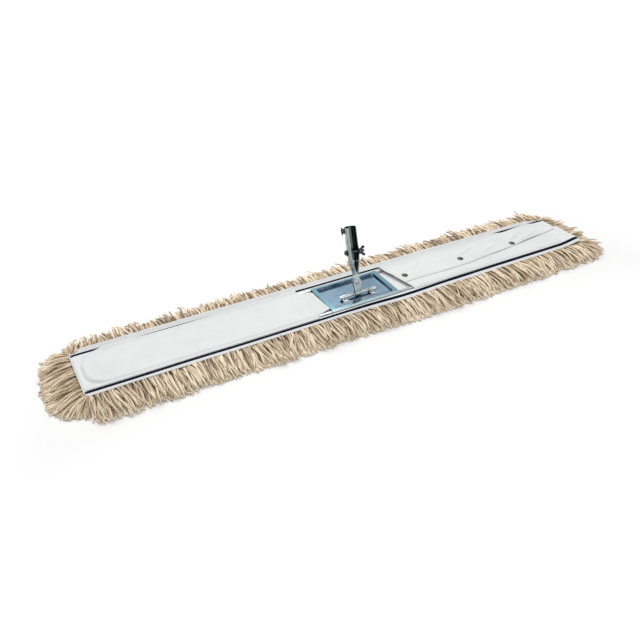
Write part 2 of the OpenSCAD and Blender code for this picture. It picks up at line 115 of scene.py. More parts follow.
def threads(add, at, axis, pitch):
    """Sine bands across one axis, one thread to a pitch."""
    node = add("TexWave", {"Vector": at, "Scale": 2 * math.pi / (20 * pitch), "Distortion": 0.6,
                           "Detail": 1.0, "Detail Scale": 0.4},
               wave_type="BANDS", bands_direction=axis, wave_profile="SIN")
    return node.outputs["Fac"]


def ramp(add, factor, *stops):
    """A colour ramp through (place, colour) stops."""
    node = add("ValToRGB", {"Fac": factor})
    elements = node.color_ramp.elements
    while len(elements) < len(stops):
        elements.new(0.5)
    for element, (stop, color) in zip(elements, stops):
        element.position = stop
        element.color = (*color, 1)
    return node.outputs["Color"]


def bumped(add, height, strength, distance):
    """A normal that follows a height."""
    return add("Bump", {"Height": height, "Strength": strength, "Distance": distance}).outputs["Normal"]


# Materials

def finish(name, color, roughness, metallic=0.0, **sockets):
    """A material with one Principled shader, and helpers that add nodes and link them to the shader."""
    material = bpy.data.materials.new(name)
    material.use_nodes = True
    tree = material.node_tree
    shader = tree.nodes["Principled BSDF"]
    shader.inputs["Base Color"].default_value = (*color, 1)
    shader.inputs["Roughness"].default_value = roughness
    shader.inputs["Metallic"].default_value = metallic
    for socket, value in sockets.items():
        shader.inputs[socket.replace("_", " ")].default_value = value

    def link(output, socket):
        tree.links.new(output, shader.inputs[socket])

    return material, node_maker(tree), link


def woven(name, color, shade, pitch, depth, roughness, sheen, gloss=0.2):
    """Cloth: crossing threads raise the surface, and slubs and soft smudges shift its colour."""
    material, add, link = finish(name, color, roughness, Sheen_Weight=sheen, Sheen_Roughness=0.5,
                                 Specular_IOR_Level=gloss)
    at = add("TexCoord").outputs["Object"]
    warp = threads(add, at, "X", pitch)
    weft = threads(add, at, "Y", pitch * 1.15)
    over = calc(add, "MULTIPLY", warp, weft)
    slub = noise(add, at, 700.0, 3.0, 0.6)
    smudge = noise(add, at, 16.0, 4.0, 0.55)
    height = calc(add, "MULTIPLY_ADD", slub, 0.5, over)
    mottled = calc(add, "MULTIPLY_ADD", smudge, 0.65, calc(add, "MULTIPLY", height, 0.35))
    link(ramp(add, mottled, (0.25, shade), (0.70, color)), "Base Color")
    link(bumped(add, height, 0.35, depth), "Normal")
    return material


PLY_PITCH = 0.0042


def cotton_yarn():
    """Plied yarn: two plies wind round each strand, and each strand has its own tone, with painted light that
    makes it paler towards its tip, and painted light and shade that make its upper side paler and its
    underside darker."""
    material, add, link = finish("cotton_yarn", (0.62, 0.50, 0.36), 0.95, Sheen_Weight=0.25,
                                 Sheen_Roughness=0.6)
    strand = add("SeparateXYZ", {0: add("UVMap", uv_map="strand").outputs[0]}).outputs
    turn = calc(add, "MULTIPLY", strand["X"], 4 * math.pi)
    twist = calc(add, "MULTIPLY_ADD", strand["Y"], 2 * math.pi / PLY_PITCH, turn)
    ply = calc(add, "SINE", twist)
    fuzz = noise(add, add("TexCoord").outputs["Object"], 1500.0, 3.0, 0.7)
    tone = add("Attribute", attribute_name="tone").outputs["Fac"]
    groove = calc(add, "MULTIPLY_ADD", ply, 0.06, tone)
    # Painted light: each strand is paler towards its tip.
    painted_tip_light = calc(add, "MULTIPLY_ADD", strand["Y"], 7.6, groove)
    # Painted light and shade: each strand is paler on its upper side and darker on its underside.
    upper = calc(add, "SINE", calc(add, "MULTIPLY", strand["X"], 2 * math.pi))
    lit = calc(add, "MULTIPLY_ADD", upper, 0.20, painted_tip_light)
    shade = calc(add, "MULTIPLY_ADD", fuzz, 0.24, lit)
    link(ramp(add, shade, (0.08, (0.13, 0.080, 0.040)), (0.42, (0.53, 0.385, 0.235)),
              (0.72, (0.80, 0.650, 0.47)), (1.0, (0.98, 0.845, 0.655))), "Base Color")
    height = calc(add, "MULTIPLY_ADD", ply, 0.8, fuzz)
    link(bumped(add, height, 0.6, 0.0005), "Normal")
    return material


EVEN, LENGTHWISE = (1.0, 1.0, 1.0), (0.05, 1.0, 1.0)


def plated(name, dark, light, roughness, grain, cloud, streak=EVEN):
    """Plated steel: a cloudy tint, fine rolling or drawing lines, and dull patches."""
    material, add, link = finish(name, light, roughness, 1.0)
    at = add("TexCoord").outputs["Object"]
    clouds = noise(add, at, cloud, 5.0, 0.6)
    lines = noise(add, add("Mapping", {"Vector": at, "Scale": streak}).outputs[0], 900.0, 3.0, 0.55)
    tint = ramp(add, clouds, (0.30, dark), (0.68, light))
    patches = calc(add, "MULTIPLY_ADD", clouds, 0.5, lines)
    link(tint, "Base Color")
    link(mapped(add, patches, 0.45, 1.05, roughness * 0.65, roughness * 1.5), "Roughness")
    link(bumped(add, lines, grain, 0.0002), "Normal")
    return material, add, link, tint


# Along the stem: where the painted shade of the bore starts, and the two ends of the neck with the bore's
# radius at each
BORE_START, NECK_LOW, NECK_HIGH = 0.047, 0.045, 0.074
BORE_LOW_R, BORE_HIGH_R = 0.0066, 0.0113


def socket_zinc():
    """Grey zinc outside; the bore, found by its distance from the stem's axis, is painted darker as shade
    inside the hollow socket.
    """
    material, add, link, outer = plated("grey_zinc", (0.25, 0.30, 0.305), (0.46, 0.525, 0.53), 0.22, 0.12,
                                        60.0)
    axis = (0.0, math.sin(STEM_LEAN), math.cos(STEM_LEAN))
    arm = vector_calc(add, "SUBTRACT", add("TexCoord").outputs["Object"], STEM_FOOT)["Vector"]
    swept = vector_calc(add, "CROSS_PRODUCT", arm, axis)["Vector"]
    radius = vector_calc(add, "LENGTH", swept)["Value"]
    height = vector_calc(add, "DOT_PRODUCT", arm, axis)["Value"]
    wall = mapped(add, height, NECK_LOW, NECK_HIGH, BORE_LOW_R, BORE_HIGH_R)
    inside = calc(add, "LESS_THAN", radius, wall)
    above = calc(add, "GREATER_THAN", height, BORE_START)
    bore = calc(add, "MULTIPLY", inside, above)
    # Painted shade inside the bore.
    link(mixed(add, bore, outer, (0.10, 0.12, 0.125)), "Base Color")
    return material


def plate_zinc():
    """Blue zinc plate: a lilac cast in the pressed tray, with painted shade along its walls that is darkest
    at the front, teal on the raised borders, and painted highlights on the curls."""
    material, add, link, tray = plated("blue_zinc", (0.15, 0.25, 0.33), (0.27, 0.34, 0.43), 0.14, 0.05, 9.0,
                                       LENGTHWISE)
    at = add("SeparateXYZ", {0: add("TexCoord").outputs["Object"]}).outputs
    side = calc(add, "ABSOLUTE", at["Y"])
    end = calc(add, "ABSOLUTE", at["X"])
    # Painted shade: the tray darkens towards its front wall and along its side and end walls.
    front = mapped(add, at["Y"], 0.0018 - TRAY_SIDE, 0.0158 - TRAY_SIDE, 0.30)
    side_wall = mapped(add, side, TRAY_SIDE - 0.0026, TRAY_SIDE - 0.0004, 1.0, 0.60)
    end_wall = mapped(add, end, TRAY_END - 0.0055, TRAY_END - 0.0035, 1.0, 0.70)
    shade = calc(add, "MULTIPLY", front, calc(add, "MULTIPLY", side_wall, end_wall))
    deep = add("VectorMath", {0: tray, "Scale": shade}, operation="SCALE").outputs["Vector"]
    raised = mapped(add, at["Z"], BORDER_TOP - 0.0019, BORDER_TOP - 0.0002)
    # Painted highlight: the curls round the wires are lightened towards silver.
    curl = mapped(add, side, WIRE_Y - 0.0010, WIRE_Y + 0.0006)
    border = mixed(add, raised, deep, (0.17, 0.31, 0.37))
    link(mixed(add, curl, border, (0.40, 0.48, 0.50)), "Base Color")
    return material


canvas_drill = woven("canvas_drill", (0.775, 0.79, 0.785), (0.68, 0.692, 0.692), 0.0011, 0.00016, 0.92, 0.15)
navy_tape = woven("navy_tape", (0.004, 0.008, 0.021), (0.0016, 0.004, 0.011), 0.0009, 0.00018, 0.95, 0.0,
                  gloss=0.04)
white_thread = woven("white_thread", (0.82, 0.82, 0.80), (0.66, 0.66, 0.64), 0.0004, 0.0001, 0.85, 0.20)
cream_thread = woven("cream_thread", (0.62, 0.55, 0.42), (0.48, 0.41, 0.30), 0.0004, 0.0001, 0.85, 0.20)
yarn = cotton_yarn()
blue_zinc = plate_zinc()
bright_wire = plated("bright_wire", (0.26, 0.28, 0.29), (0.72, 0.75, 0.76), 0.09, 0.10, 45.0, LENGTHWISE)[0]
grey_zinc = socket_zinc()
dark_steel = plated("dark_steel", (0.020, 0.022, 0.024), (0.070, 0.072, 0.074), 0.26, 0.15, 120.0)[0]
snap_metal = plated("snap_metal", (0.030, 0.029, 0.027), (0.11, 0.105, 0.095), 0.28, 0.15, 260.0)[0]

FINISHES = {
    snap_metal: ["snap_caps", "snap_sockets", "snap_studs", "snap_posts"],
    bright_wire: ["left_wire", "right_wire", "left_saddle", "right_saddle", "saddle_rivets", "pivot_rod"],
    blue_zinc: ["middle_plate"],
    grey_zinc: ["yoke", "knuckle_rivet", "handle_socket"],
    dark_steel: ["clamp_bolt", "bolt_washers", "wing_nut", "weld_nut", "thumb_screw"],
}
for material, names in FINISHES.items():
    for name in names:
        nodes[name].data.materials.clear()
        nodes[name].data.materials.append(material)


# Helpers for shapes

def smooth(edge0, edge1, v):
    """0 at the first edge, 1 at the second, eased between them."""
    t = np.clip((v - edge0) / (edge1 - edge0), 0, 1)
    return t * t * (3 - 2 * t)


def bell(v, middle, width):
    """1 at the middle, falling off to both sides."""
    return np.exp(-((v - middle) / width) ** 2)


DRIFT_VALUES = 4000


def drift(v, step, seed, amount):
    """A smooth random line over v: one random value to each step, eased between them."""
    values = np.random.default_rng(seed).uniform(-1, 1, DRIFT_VALUES)
    at = v / step + DRIFT_VALUES // 2
    low = np.floor(at).astype(int)
    t = smooth(0, 1, at - low)
    return amount * (values[low] * (1 - t) + values[low + 1] * t)


def crumple(x, y, step, seed, amount):
    """A smooth random surface, as cloth that has been handled."""
    a = drift(x + 0.35 * y, step, seed, 1.0) * drift(y - 0.4 * x, step * 0.8, seed + 1, 1.0)
    b = drift(x - 0.8 * y, step * 1.3, seed + 2, 1.0)
    return amount * (0.65 * a + 0.35 * b)


def outside(x, y, half_l, half_w, r):
    """Distance outside a round-cornered rectangle, negative within it."""
    qx = np.abs(x) - (half_l - r)
    qy = np.abs(y) - (half_w - r)
    return np.hypot(np.maximum(qx, 0), np.maximum(qy, 0)) + np.minimum(np.maximum(qx, qy), 0) - r


def past_wire(x, y):
    """Distance outside the middle line of the frame's wires, negative within it."""
    return outside(x, y, WIRE_X, WIRE_Y, WIRE_BEND)


def corner(past, r):
    """How far a rounded corner draws an edge in, at a distance past the corner's start."""
    return r - np.sqrt(np.maximum(r ** 2 - np.clip(past, 0, r) ** 2, 0))


def deselect():
    """Leaves nothing selected, so that an operator acts only on what is added or selected next."""
    bpy.ops.object.select_all(action="DESELECT")


def face_alike(obj):
    """Turns the faces of a mesh the same way, outwards where it is closed."""
    deselect()
    obj.select_set(True)
    bpy.context.view_layer.objects.active = obj
    bpy.ops.object.mode_set(mode="EDIT")
    bpy.ops.mesh.select_all(action="SELECT")
    bpy.ops.mesh.normals_make_consistent(inside=False)
    bpy.ops.object.mode_set(mode="OBJECT")


def mesh_arrays(obj):
    """The points and the faces of a modelled shape, to be copied many times."""
    points = np.array([v.co[:] for v in obj.data.vertices])
    faces = [tuple(p.vertices) for p in obj.data.polygons]
    return points, faces


def copies_object(name, points, faces):
    """One object from many copies of a shape: points has a row of points for each copy."""
    count, size = points.shape[:2]
    all_faces = [tuple(i * size + v for v in face) for i in range(count) for face in faces]
    mesh = bpy.data.meshes.new(name)
    mesh.from_pydata(points.reshape(-1, 3).tolist(), [], all_faces)
    mesh.polygons.foreach_set("use_smooth", [True] * len(all_faces))
    obj = bpy.data.objects.new(name, mesh)
    scene.collection.objects.link(obj)
    return obj


# Where each flap starts to bend beside its seam, and from where it swings freely
SEAMS = {
    "back_flap": ((0.32, 0.0515, 0.0203), (0.32, 0.0470, 0.0203)),
    "front_flap": ((0.32, -0.0503, 0.0203), (0.32, -0.0458, 0.0203)),
}


def hand_over(obj, name, material, body):
    """Names a finished piece, gives it its material and gives it to its body; a flap's piece is not given to
    a body but has its transform baked in."""
    obj.name = obj.data.name = name
    obj.data.materials.clear()
    obj.data.materials.append(material)
    if body in SEAMS:
        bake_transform(obj)
    else:
        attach(obj, body)
    return obj


def cloth(name, columns, rows, lay, thickness, body, material=canvas_drill):
    """A grid laid by a function of its two ways, 0 to 1, then thickened downwards."""
    deselect()
    bpy.ops.mesh.primitive_grid_add(x_subdivisions=columns, y_subdivisions=rows, size=2)
    obj = bpy.context.object
    flat = np.empty(len(obj.data.vertices) * 3)
    obj.data.vertices.foreach_get("co", flat)
    flat = flat.reshape(-1, 3)
    x, y, z = lay((flat[:, 0] + 1) / 2, (flat[:, 1] + 1) / 2)
    obj.data.vertices.foreach_set("co", np.stack([x, y, z], 1).ravel())
    obj.data.update()
    face_alike(obj)
    up = np.empty(len(obj.data.polygons) * 3)
    obj.data.polygons.foreach_get("normal", up)
    if up.reshape(-1, 3)[:, 2].mean() < 0:
        obj.data.flip_normals()
    wall = obj.modifiers.new("wall", "SOLIDIFY")
    wall.thickness = thickness
    wall.offset = -1
    bpy.ops.object.modifier_apply(modifier="wall")
    bpy.ops.object.shade_smooth_by_angle(angle=math.radians(50))
    return hand_over(obj, name, material, body)


# Canvas and stripes

BACK_SPREAD, BACK_PROP = 0.0020, 2.25
FRONT_BULGE, FRONT_DRAWN_IN = 0.0035, 0.0020


def back_spread(x):
    """How far the back margin, propped up by the yarn, spreads past its straight line."""
    return BACK_SPREAD * smooth(-0.549, -0.520, x) * smooth(0.547, 0.490, x)


def front_bulge(x):
    """How far the front stripe bulges beside the plate, where no pocket holds it straight."""
    return FRONT_BULGE * bell(x, 0.09, 0.07)


def front_spread(x):
    """How far the front margin spreads past its straight line: out at the stripe's bulge, in on the left."""
    return front_bulge(x) - FRONT_DRAWN_IN * smooth(0.02, -0.10, x)


def margin_top(x, y):
    """Top of the canvas: margins that droop a little, curl up at the right front corner and are propped up at
    the back, round a middle sunk by the frame."""
    sunk = smooth(0.0005, -0.0040, outside(x, y, SUNK_X, SUNK_Y, SUNK_R))
    droop = np.where(y > 0, 0.0006, 0.0016) * np.clip((np.abs(y) - 0.053) / 0.014, 0, 1.2) ** 1.4
    curl = 0.0065 * smooth(0.485, 0.553, x) ** 1.5 * smooth(0.0, -0.055, y)
    wave = drift(x, 0.055, 5, 0.0005) * smooth(0.050, 0.062, np.abs(y)) * np.where(y > 0, 1.0, -0.7)
    propped = BACK_PROP * back_spread(x) * smooth(0.057, 0.069, y)
    return MARGIN_Z + wave - droop + propped + curl * (1 - sunk) - (MARGIN_Z - SUNK_Z) * sunk


def lay_canvas(u, v):
    """The backing: a round-cornered rectangle with slightly uneven long edges."""
    x = COVER_L * (u - 0.5)
    half = COVER_W / 2 - corner(np.abs(x) - (COVER_L / 2 - COVER_R), COVER_R)
    half = half + drift(x, 0.09, 11, 0.0007)
    half = half + np.where(v > 0.5, back_spread(x), front_spread(x))
    y = half * (2 * v - 1)
    return x, y, margin_top(x, y)


canvas = cloth("canvas_backing", 300, 74, lay_canvas, CANVAS_T, "mop")
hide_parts("backing_canvas")


def tape_line(x, side):
    """Middle line of a stripe."""
    bulge = front_bulge(x) if side < 0 else 0.0
    return side * (TAPE_Y0 + TAPE_Y1) / 2 - bulge + drift(x, 0.12, 21 + side, 0.0006)


def lay_tape(side):
    """A stripe that lies on the margin, narrower where the cloth beside it covers a part of it."""
    def lay(u, v):
        x = (COVER_L - 0.004) * (u - 0.5)
        if side < 0:
            covered = 0.24 * smooth(0.0, -0.08, x)
            inward = 0.0
        else:
            covered = 0.20 * smooth(-0.470, -0.440, x) * smooth(0.410, 0.390, x)
            inward = 0.5 * covered
        y = tape_line(x, side) + (TAPE_Y1 - TAPE_Y0) * ((1 - covered) * (v - 0.5) - inward)
        edge = 0.00025 * (1 - np.abs(2 * v - 1) ** 4)
        return x, y, margin_top(x, y) + 0.0003 + edge

    return lay


for side, name in ((-1, "front_tape"), (1, "back_tape")):
    cloth(name, 300, 6, lay_tape(side), TAPE_T, "mop", navy_tape)
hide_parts("edge_stripes")


# Pocket and flaps

def over_wire(x, y, foot, top, sag, slack, full=0.0):
    """Cloth over the frame: raised along the wire, slack inside it, sloping down to the margin outside.
    Where it is full, it stands up beyond the wire and drops steeply to its seam."""
    d = past_wire(x, y)
    inner = smooth(0.0, -0.030, d)
    slope = smooth(-0.0005 + 0.0065 * full, slack + 0.0004 * full, d)
    at_end = smooth(0.470, 0.515, np.abs(x))
    ridge = at_end * 0.0004 * bell(d, 0.0, 0.003) + full * 0.0030 * bell(d, 0.0062, 0.005)
    return top - sag * inner + ridge + (foot - top) * slope


def pocket_top(x, y):
    """Top of the left pocket: soft inside the wire, with one fold across it and a hem at its mouth."""
    soft = smooth(0.004, -0.020, past_wire(x, y))
    wrinkle = crumple(x, y, 0.060, 31, 0.0008) * soft
    fold = 0.0007 * bell(x + 0.25 * y, -0.33, 0.018) * soft
    hem = 0.0006 * smooth(-0.0115, -0.0100, x - MOUTH_LEFT)
    foot = margin_top(x, y) + FOOT_RISE
    dip = 0.42 * bell(x, -0.36, 0.09)
    full = smooth(0.020, 0.040, y) * smooth(-0.513, -0.493, x) * (1.0 - dip + drift(x, 0.05, 35, 0.10))
    return over_wire(x, y, foot, POCKET_TOP, 0.0009, 0.0085, full) + wrinkle - fold + hem


def lay_pocket(u, v):
    """The left pocket, from its closed end to its mouth, which is cut back at both sides."""
    across = POCKET_HALF * (2 * v - 1)
    notches = smooth(0.030, 0.043, across) + smooth(-0.036, -0.046, across)
    mouth = MOUTH_LEFT - MOUTH_NOTCH * notches + 0.0010 * np.sin(2 * v * math.pi)
    x = POCKET_END + (mouth - POCKET_END) * u
    y = (POCKET_HALF - corner(POCKET_END + CORNER_R - x, CORNER_R)) * (2 * v - 1)
    return x, y, pocket_top(x, y)


pocket = cloth("left_pocket_cloth", 180, 60, lay_pocket, FLAP_T, "mop")
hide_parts("left_pocket")


def near_snaps(x, y, reach):
    """1 at the snaps, which hold the cloth still, falling off round them."""
    near = np.full(np.shape(x), 9.0)
    for sx, sy in SNAPS:
        near = np.minimum(near, np.hypot(x - sx, y - sy))
    return bell(near, 0.0, reach)


def mouth_line(y):
    """Mouth of the right pocket, slanting a little across the mop."""
    return MOUTH_RIGHT - MOUTH_SLANT * y


def front_flap_top(x, y):
    """Top of the front flap: smooth where the back flap lies on it, a little crumpled towards its seam."""
    held = near_snaps(x, y, 0.014)
    soft = smooth(0.004, -0.015, past_wire(x, y)) * (1 - held)
    wrinkle = crumple(x, y, 0.050, 51, 0.0004) * soft * smooth(-0.012, -0.030, y)
    foot = margin_top(x, np.minimum(y, FRONT_SEAM + SEAM_TUCK)) + FOOT_RISE
    top = over_wire(x, np.minimum(y, 0.0), foot, FRONT_TOP, 0.0004, 0.0075)
    return top * (1 - held) + FRONT_TOP * held + wrinkle


def lay_front_flap(u, v):
    """The front flap, from its seam to its free edge under the back flap."""
    mouth = mouth_line(FRONT_SEAM + (FRONT_FREE - FRONT_SEAM) * v)
    x = mouth + (FRONT_END - mouth) * u + 0.0007 * np.sin(3 * v + 1) * (1 - u)
    low = FRONT_SEAM + corner(x - (FRONT_END - CORNER_R), CORNER_R)
    y = low + (FRONT_FREE - low) * v
    return x, y, front_flap_top(x, y)


front_flap = cloth("front_flap_cloth", 150, 40, lay_front_flap, FLAP_T, "front_flap")
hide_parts("front_flap")

SLANT_START, SLANT_END, SLANT_RISE = 0.275, 0.546, 0.0275


def flap_edge(x):
    """Free edge of the back flap: level by the first two snaps, then slanting to the far corner."""
    level = BACK_FREE + drift(x, 0.045, 61, 0.0014)
    slant = np.clip((x - SLANT_START) / (SLANT_END - SLANT_START), 0, 1)
    return level + (SLANT_RISE - 0.002 * np.sin(slant * 6)) * slant ** 0.9


# Creases of the back flap: start, end and height
CREASES = [((0.255, 0.006), (0.330, 0.032), 0.0024), ((0.300, -0.012), (0.390, 0.020), 0.0021),
           ((0.395, 0.008), (0.470, 0.036), 0.0030), ((0.420, -0.004), (0.500, 0.018), 0.0027),
           ((0.330, 0.040), (0.420, 0.030), 0.0021), ((0.130, 0.012), (0.200, 0.038), 0.0015)]
CREASE_W = 0.0042


def crease(x, y, start, end, high):
    """One straight crease that runs out at both ends."""
    way_x, way_y = end[0] - start[0], end[1] - start[1]
    from_x, from_y = x - start[0], y - start[1]
    t = np.clip((from_x * way_x + from_y * way_y) / (way_x ** 2 + way_y ** 2), 0, 1)
    gap = np.hypot(from_x - t * way_x, from_y - t * way_y)
    return high * bell(gap, 0.0, CREASE_W) * np.sin(math.pi * np.clip(t, 0.06, 0.94))


def back_flap_top(x, y):
    """Top of the back flap: creased between the snaps, full along the back wire but for two dips, with a hem
    along its free edge, which lifts towards the far end."""
    held = near_snaps(x, y, 0.013)
    soft = smooth(0.004, -0.018, past_wire(x, y)) * (1 - held)
    away = np.maximum(y - flap_edge(x), 0)
    wrinkle = np.abs(crumple(x, y, 0.042, 71, 0.0011)) * soft
    wrinkle = wrinkle + sum(crease(x, y, *line) for line in CREASES) * soft
    slack = smooth(0.30, 0.42, x)
    lifted = slack * 0.0016 * bell(away, 0.0, 0.012) * (0.5 + 0.5 * np.sin(x / 0.017)) * (1 - held)
    hem = 0.0005 * smooth(0.0095, 0.0080, away) - 0.0007 * bell(away, 0.0, 0.010)
    foot = margin_top(x, np.maximum(y, BACK_SEAM - SEAM_TUCK)) + FOOT_RISE
    dips = bell(x, 0.426, 0.018) + bell(x, 0.525, 0.024)
    full = smooth(0.020, 0.040, y) * (1 - 0.9 * np.clip(dips, 0, 1)) * (0.85 + drift(x, 0.05, 75, 0.15))
    top = over_wire(x, np.maximum(y, 0.0), foot, BACK_TOP, 0.0002, 0.0080, full)
    lap = smooth(0.012, 0.030, y) * smooth(0.0, -0.012, past_wire(x, y))
    lain = (top - FLAP_T * lap) * (1 - held) + BACK_TOP * held
    return lain + (wrinkle + lifted) * 0.9 + hem * (1 - held)


def lay_back_flap(u, v):
    """The back flap, from its free edge to its seam."""
    mouth = mouth_line(BACK_FREE + (BACK_SEAM - BACK_FREE) * v) - 0.001
    x = mouth + (BACK_END - mouth) * u + 0.0009 * np.sin(4 * v) * (1 - u)
    high = BACK_SEAM - corner(x - BACK_ROUND, CORNER_R)
    low = flap_edge(x)
    y = low + (high - low) * v
    return x, y, back_flap_top(x, y)


back_flap = cloth("back_flap_cloth", 170, 56, lay_back_flap, FLAP_T, "back_flap")
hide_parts("back_flap")


# Stitching

STITCH_SIZE, STITCH_PITCH, STITCH_PROUD = (0.0015, 0.00034, 0.00028), 0.0042, 0.0001
PROBE = 0.0005


def model_stitch():
    """One stitch, along X: a drop pressed flat."""
    deselect()
    bpy.ops.mesh.primitive_uv_sphere_add(segments=6, ring_count=4, radius=1.0, rotation=(0, math.pi / 2, 0))
    stitch = bpy.context.object
    bpy.ops.object.transform_apply(location=False, rotation=True, scale=False)
    bpy.ops.object.mode_set(mode="EDIT")
    bpy.ops.mesh.select_all(action="SELECT")
    bpy.ops.transform.resize(value=STITCH_SIZE)
    bpy.ops.object.mode_set(mode="OBJECT")
    return stitch


stitch_master = model_stitch()
STITCH_POINTS, STITCH_FACES = mesh_arrays(stitch_master)
bpy.data.objects.remove(stitch_master)


def stitch_row(x, y, top):
    """Stitch places along a line of points on a cloth's top: position, heading and slope."""
    steps = np.hypot(np.diff(x), np.diff(y))
    run = np.concatenate([[0], np.cumsum(steps)])
    at = np.arange(STITCH_PITCH * 0.5, run[-1], STITCH_PITCH)
    px, py = np.interp(at, run, x), np.interp(at, run, y)
    ahead = np.clip(at + 2 * PROBE, 0, run[-1])
    heading = np.arctan2(np.interp(ahead, run, y) - py, np.interp(ahead, run, x) - px)
    dx, dy = PROBE * np.cos(heading), PROBE * np.sin(heading)
    slope = (top(px + dx, py + dy) - top(px - dx, py - dy)) / (2 * PROBE)
    return np.stack([px, py, top(px, py) + STITCH_PROUD, heading, slope], 1)


def sew(name, rows, material, body):
    """Copies the stitch to every place of the rows, as one piece."""
    px, py, pz, heading, slope = np.concatenate(rows).T[:, :, None]
    x, y, z = STITCH_POINTS.T[:, None, :]
    points = np.stack([
        px + x * np.cos(heading) - y * np.sin(heading),
        py + x * np.sin(heading) + y * np.cos(heading),
        pz + z + x * slope,
    ], 2)
    return hand_over(copies_object(name, points, STITCH_FACES), name, material, body)


def end_top(side):
    """Top of the cover along one of its ends, where the pocket's cloth lies on the canvas at the left."""
    cloth_rise = 0.0013 if side < 0 else 0
    return lambda x, y: margin_top(x, y) + cloth_rise


HEM_Y, END_X = 0.0640, 0.5462
POCKET_ROW, BACK_ROW, FRONT_ROW = 0.0512, 0.0512, -0.0502

long_x = np.linspace(-0.546, 0.546, 1200)
end_y = np.linspace(-0.058, 0.058, 120)
pocket_x = np.linspace(-0.545, MOUTH_LEFT - 0.033, 500)
pocket_y = np.linspace(-0.035, 0.029, 120)
cover_rows = []
for side, spread in ((-1, front_spread), (1, back_spread)):
    cover_rows.append(stitch_row(long_x, side * (HEM_Y + spread(long_x)), margin_top))
    cover_rows.append(stitch_row(side * END_X + 0 * end_y, end_y, end_top(side)))
for side in (-1, 1):
    cover_rows.append(stitch_row(pocket_x, side * POCKET_ROW + 0 * pocket_x, pocket_top))
cover_rows.append(stitch_row(MOUTH_LEFT - 0.0085 + 0 * pocket_y, pocket_y, pocket_top))
stitches = sew("cover_stitches", cover_rows, white_thread, "mop")

flap_x = np.linspace(MOUTH_RIGHT + 0.018, 0.543, 500)
back_mouth_y = np.linspace(-0.022, 0.048, 100)
front_mouth_y = np.linspace(-0.049, -0.027, 100)
back_rows = [
    stitch_row(flap_x, flap_edge(flap_x) + 0.0030, back_flap_top),
    stitch_row(flap_x, BACK_ROW + 0 * flap_x, back_flap_top),
    stitch_row(mouth_line(back_mouth_y) + 0.004, back_mouth_y, back_flap_top),
]
back_stitches = sew("back_flap_stitches", back_rows, cream_thread, "back_flap")
front_rows = [
    stitch_row(flap_x, FRONT_ROW + 0 * flap_x, front_flap_top),
    stitch_row(mouth_line(front_mouth_y) + 0.005, front_mouth_y, front_flap_top),
]
front_stitches = sew("front_flap_stitches", front_rows, white_thread, "front_flap")


# Yarn strands

STRAND_STEPS = np.array([0.0, 0.17, 0.34, 0.51, 0.68, 0.85, 1.0])
STRAND_GIRTH = np.array([0.94, 1.0, 1.02, 1.0, 1.03, 1.06, 0.80])
STRAND_SIDES = 6
FINE_STEPS = 4


def model_strand():
    """One strand, along Z from 0 to 1: a six-sided rope cut across into steps."""
    deselect()
    bpy.ops.mesh.primitive_cylinder_add(vertices=STRAND_SIDES, radius=1.0, depth=1.0, location=(0, 0, 0.5),
                                        end_fill_type="NGON")
    strand = bpy.context.object
    bpy.ops.object.transform_apply(location=True, rotation=False, scale=False)
    # With edges as the kind that is picked, only the lengthwise ones are cut
    bpy.context.tool_settings.mesh_select_mode = (False, True, False)
    bpy.ops.object.mode_set(mode="EDIT")
    bpy.ops.mesh.select_all(action="DESELECT")
    bpy.ops.object.mode_set(mode="OBJECT")
    for edge in strand.data.edges:
        a, b = (strand.data.vertices[i].co for i in edge.vertices)
        edge.select = abs(a.z - b.z) > 0.5
    bpy.ops.object.mode_set(mode="EDIT")
    bpy.ops.mesh.subdivide(number_cuts=len(STRAND_STEPS) - 2)
    bpy.ops.object.mode_set(mode="OBJECT")
    return strand


strand_master = model_strand()
STRAND_POINTS, STRAND_FACES = mesh_arrays(strand_master)
bpy.data.objects.remove(strand_master)
POINT_STEP = np.rint(STRAND_POINTS[:, 2] * (len(STRAND_STEPS) - 1)).astype(int)
POINT_TURN = np.arctan2(STRAND_POINTS[:, 1], STRAND_POINTS[:, 0])


def strand_uv():
    """Map of one strand: its way round, 0 to 1, and its way along. A face over the seam runs past 1."""
    corners = []
    for face in STRAND_FACES:
        turns = [POINT_TURN[v] / (2 * math.pi) % 1.0 for v in face]
        if len(face) == 4 and max(turns) - min(turns) > 0.5:
            turns = [t + 1 if t < 0.5 else t for t in turns]
        corners += [(t, STRAND_STEPS[POINT_STEP[v]]) for t, v in zip(turns, face)]
    return np.array(corners)


STRAND_UV = strand_uv()


def strand_paths(roots, heading, rise, drop, sway, length, girth):
    """One path for each root. It leaves at its heading and rise, bends down by drop and aside by sway, and
    lies along the floor where it meets it."""
    path = np.zeros((len(roots), len(STRAND_STEPS), 3))
    path[:, 0] = roots
    at = roots.copy()
    phase = rng.uniform(0, 6.28, len(roots))
    for k in range(1, len(STRAND_STEPS)):
        span = (STRAND_STEPS[k] - STRAND_STEPS[k - 1]) / FINE_STEPS
        for j in range(FINE_STEPS):
            t = STRAND_STEPS[k - 1] + span * (j + 0.5)
            el = rise - drop * t ** 1.25
            az = heading + sway * (t - 0.3) + 0.16 * np.sin(5.5 * t + phase)
            way = np.stack([np.cos(el) * np.cos(az), np.cos(el) * np.sin(az), np.sin(el)], 1)
            at = at + way * (length * span)[:, None]
            at[:, 2] = np.maximum(at[:, 2], girth * 1.08)
        path[:, k] = at
    return path


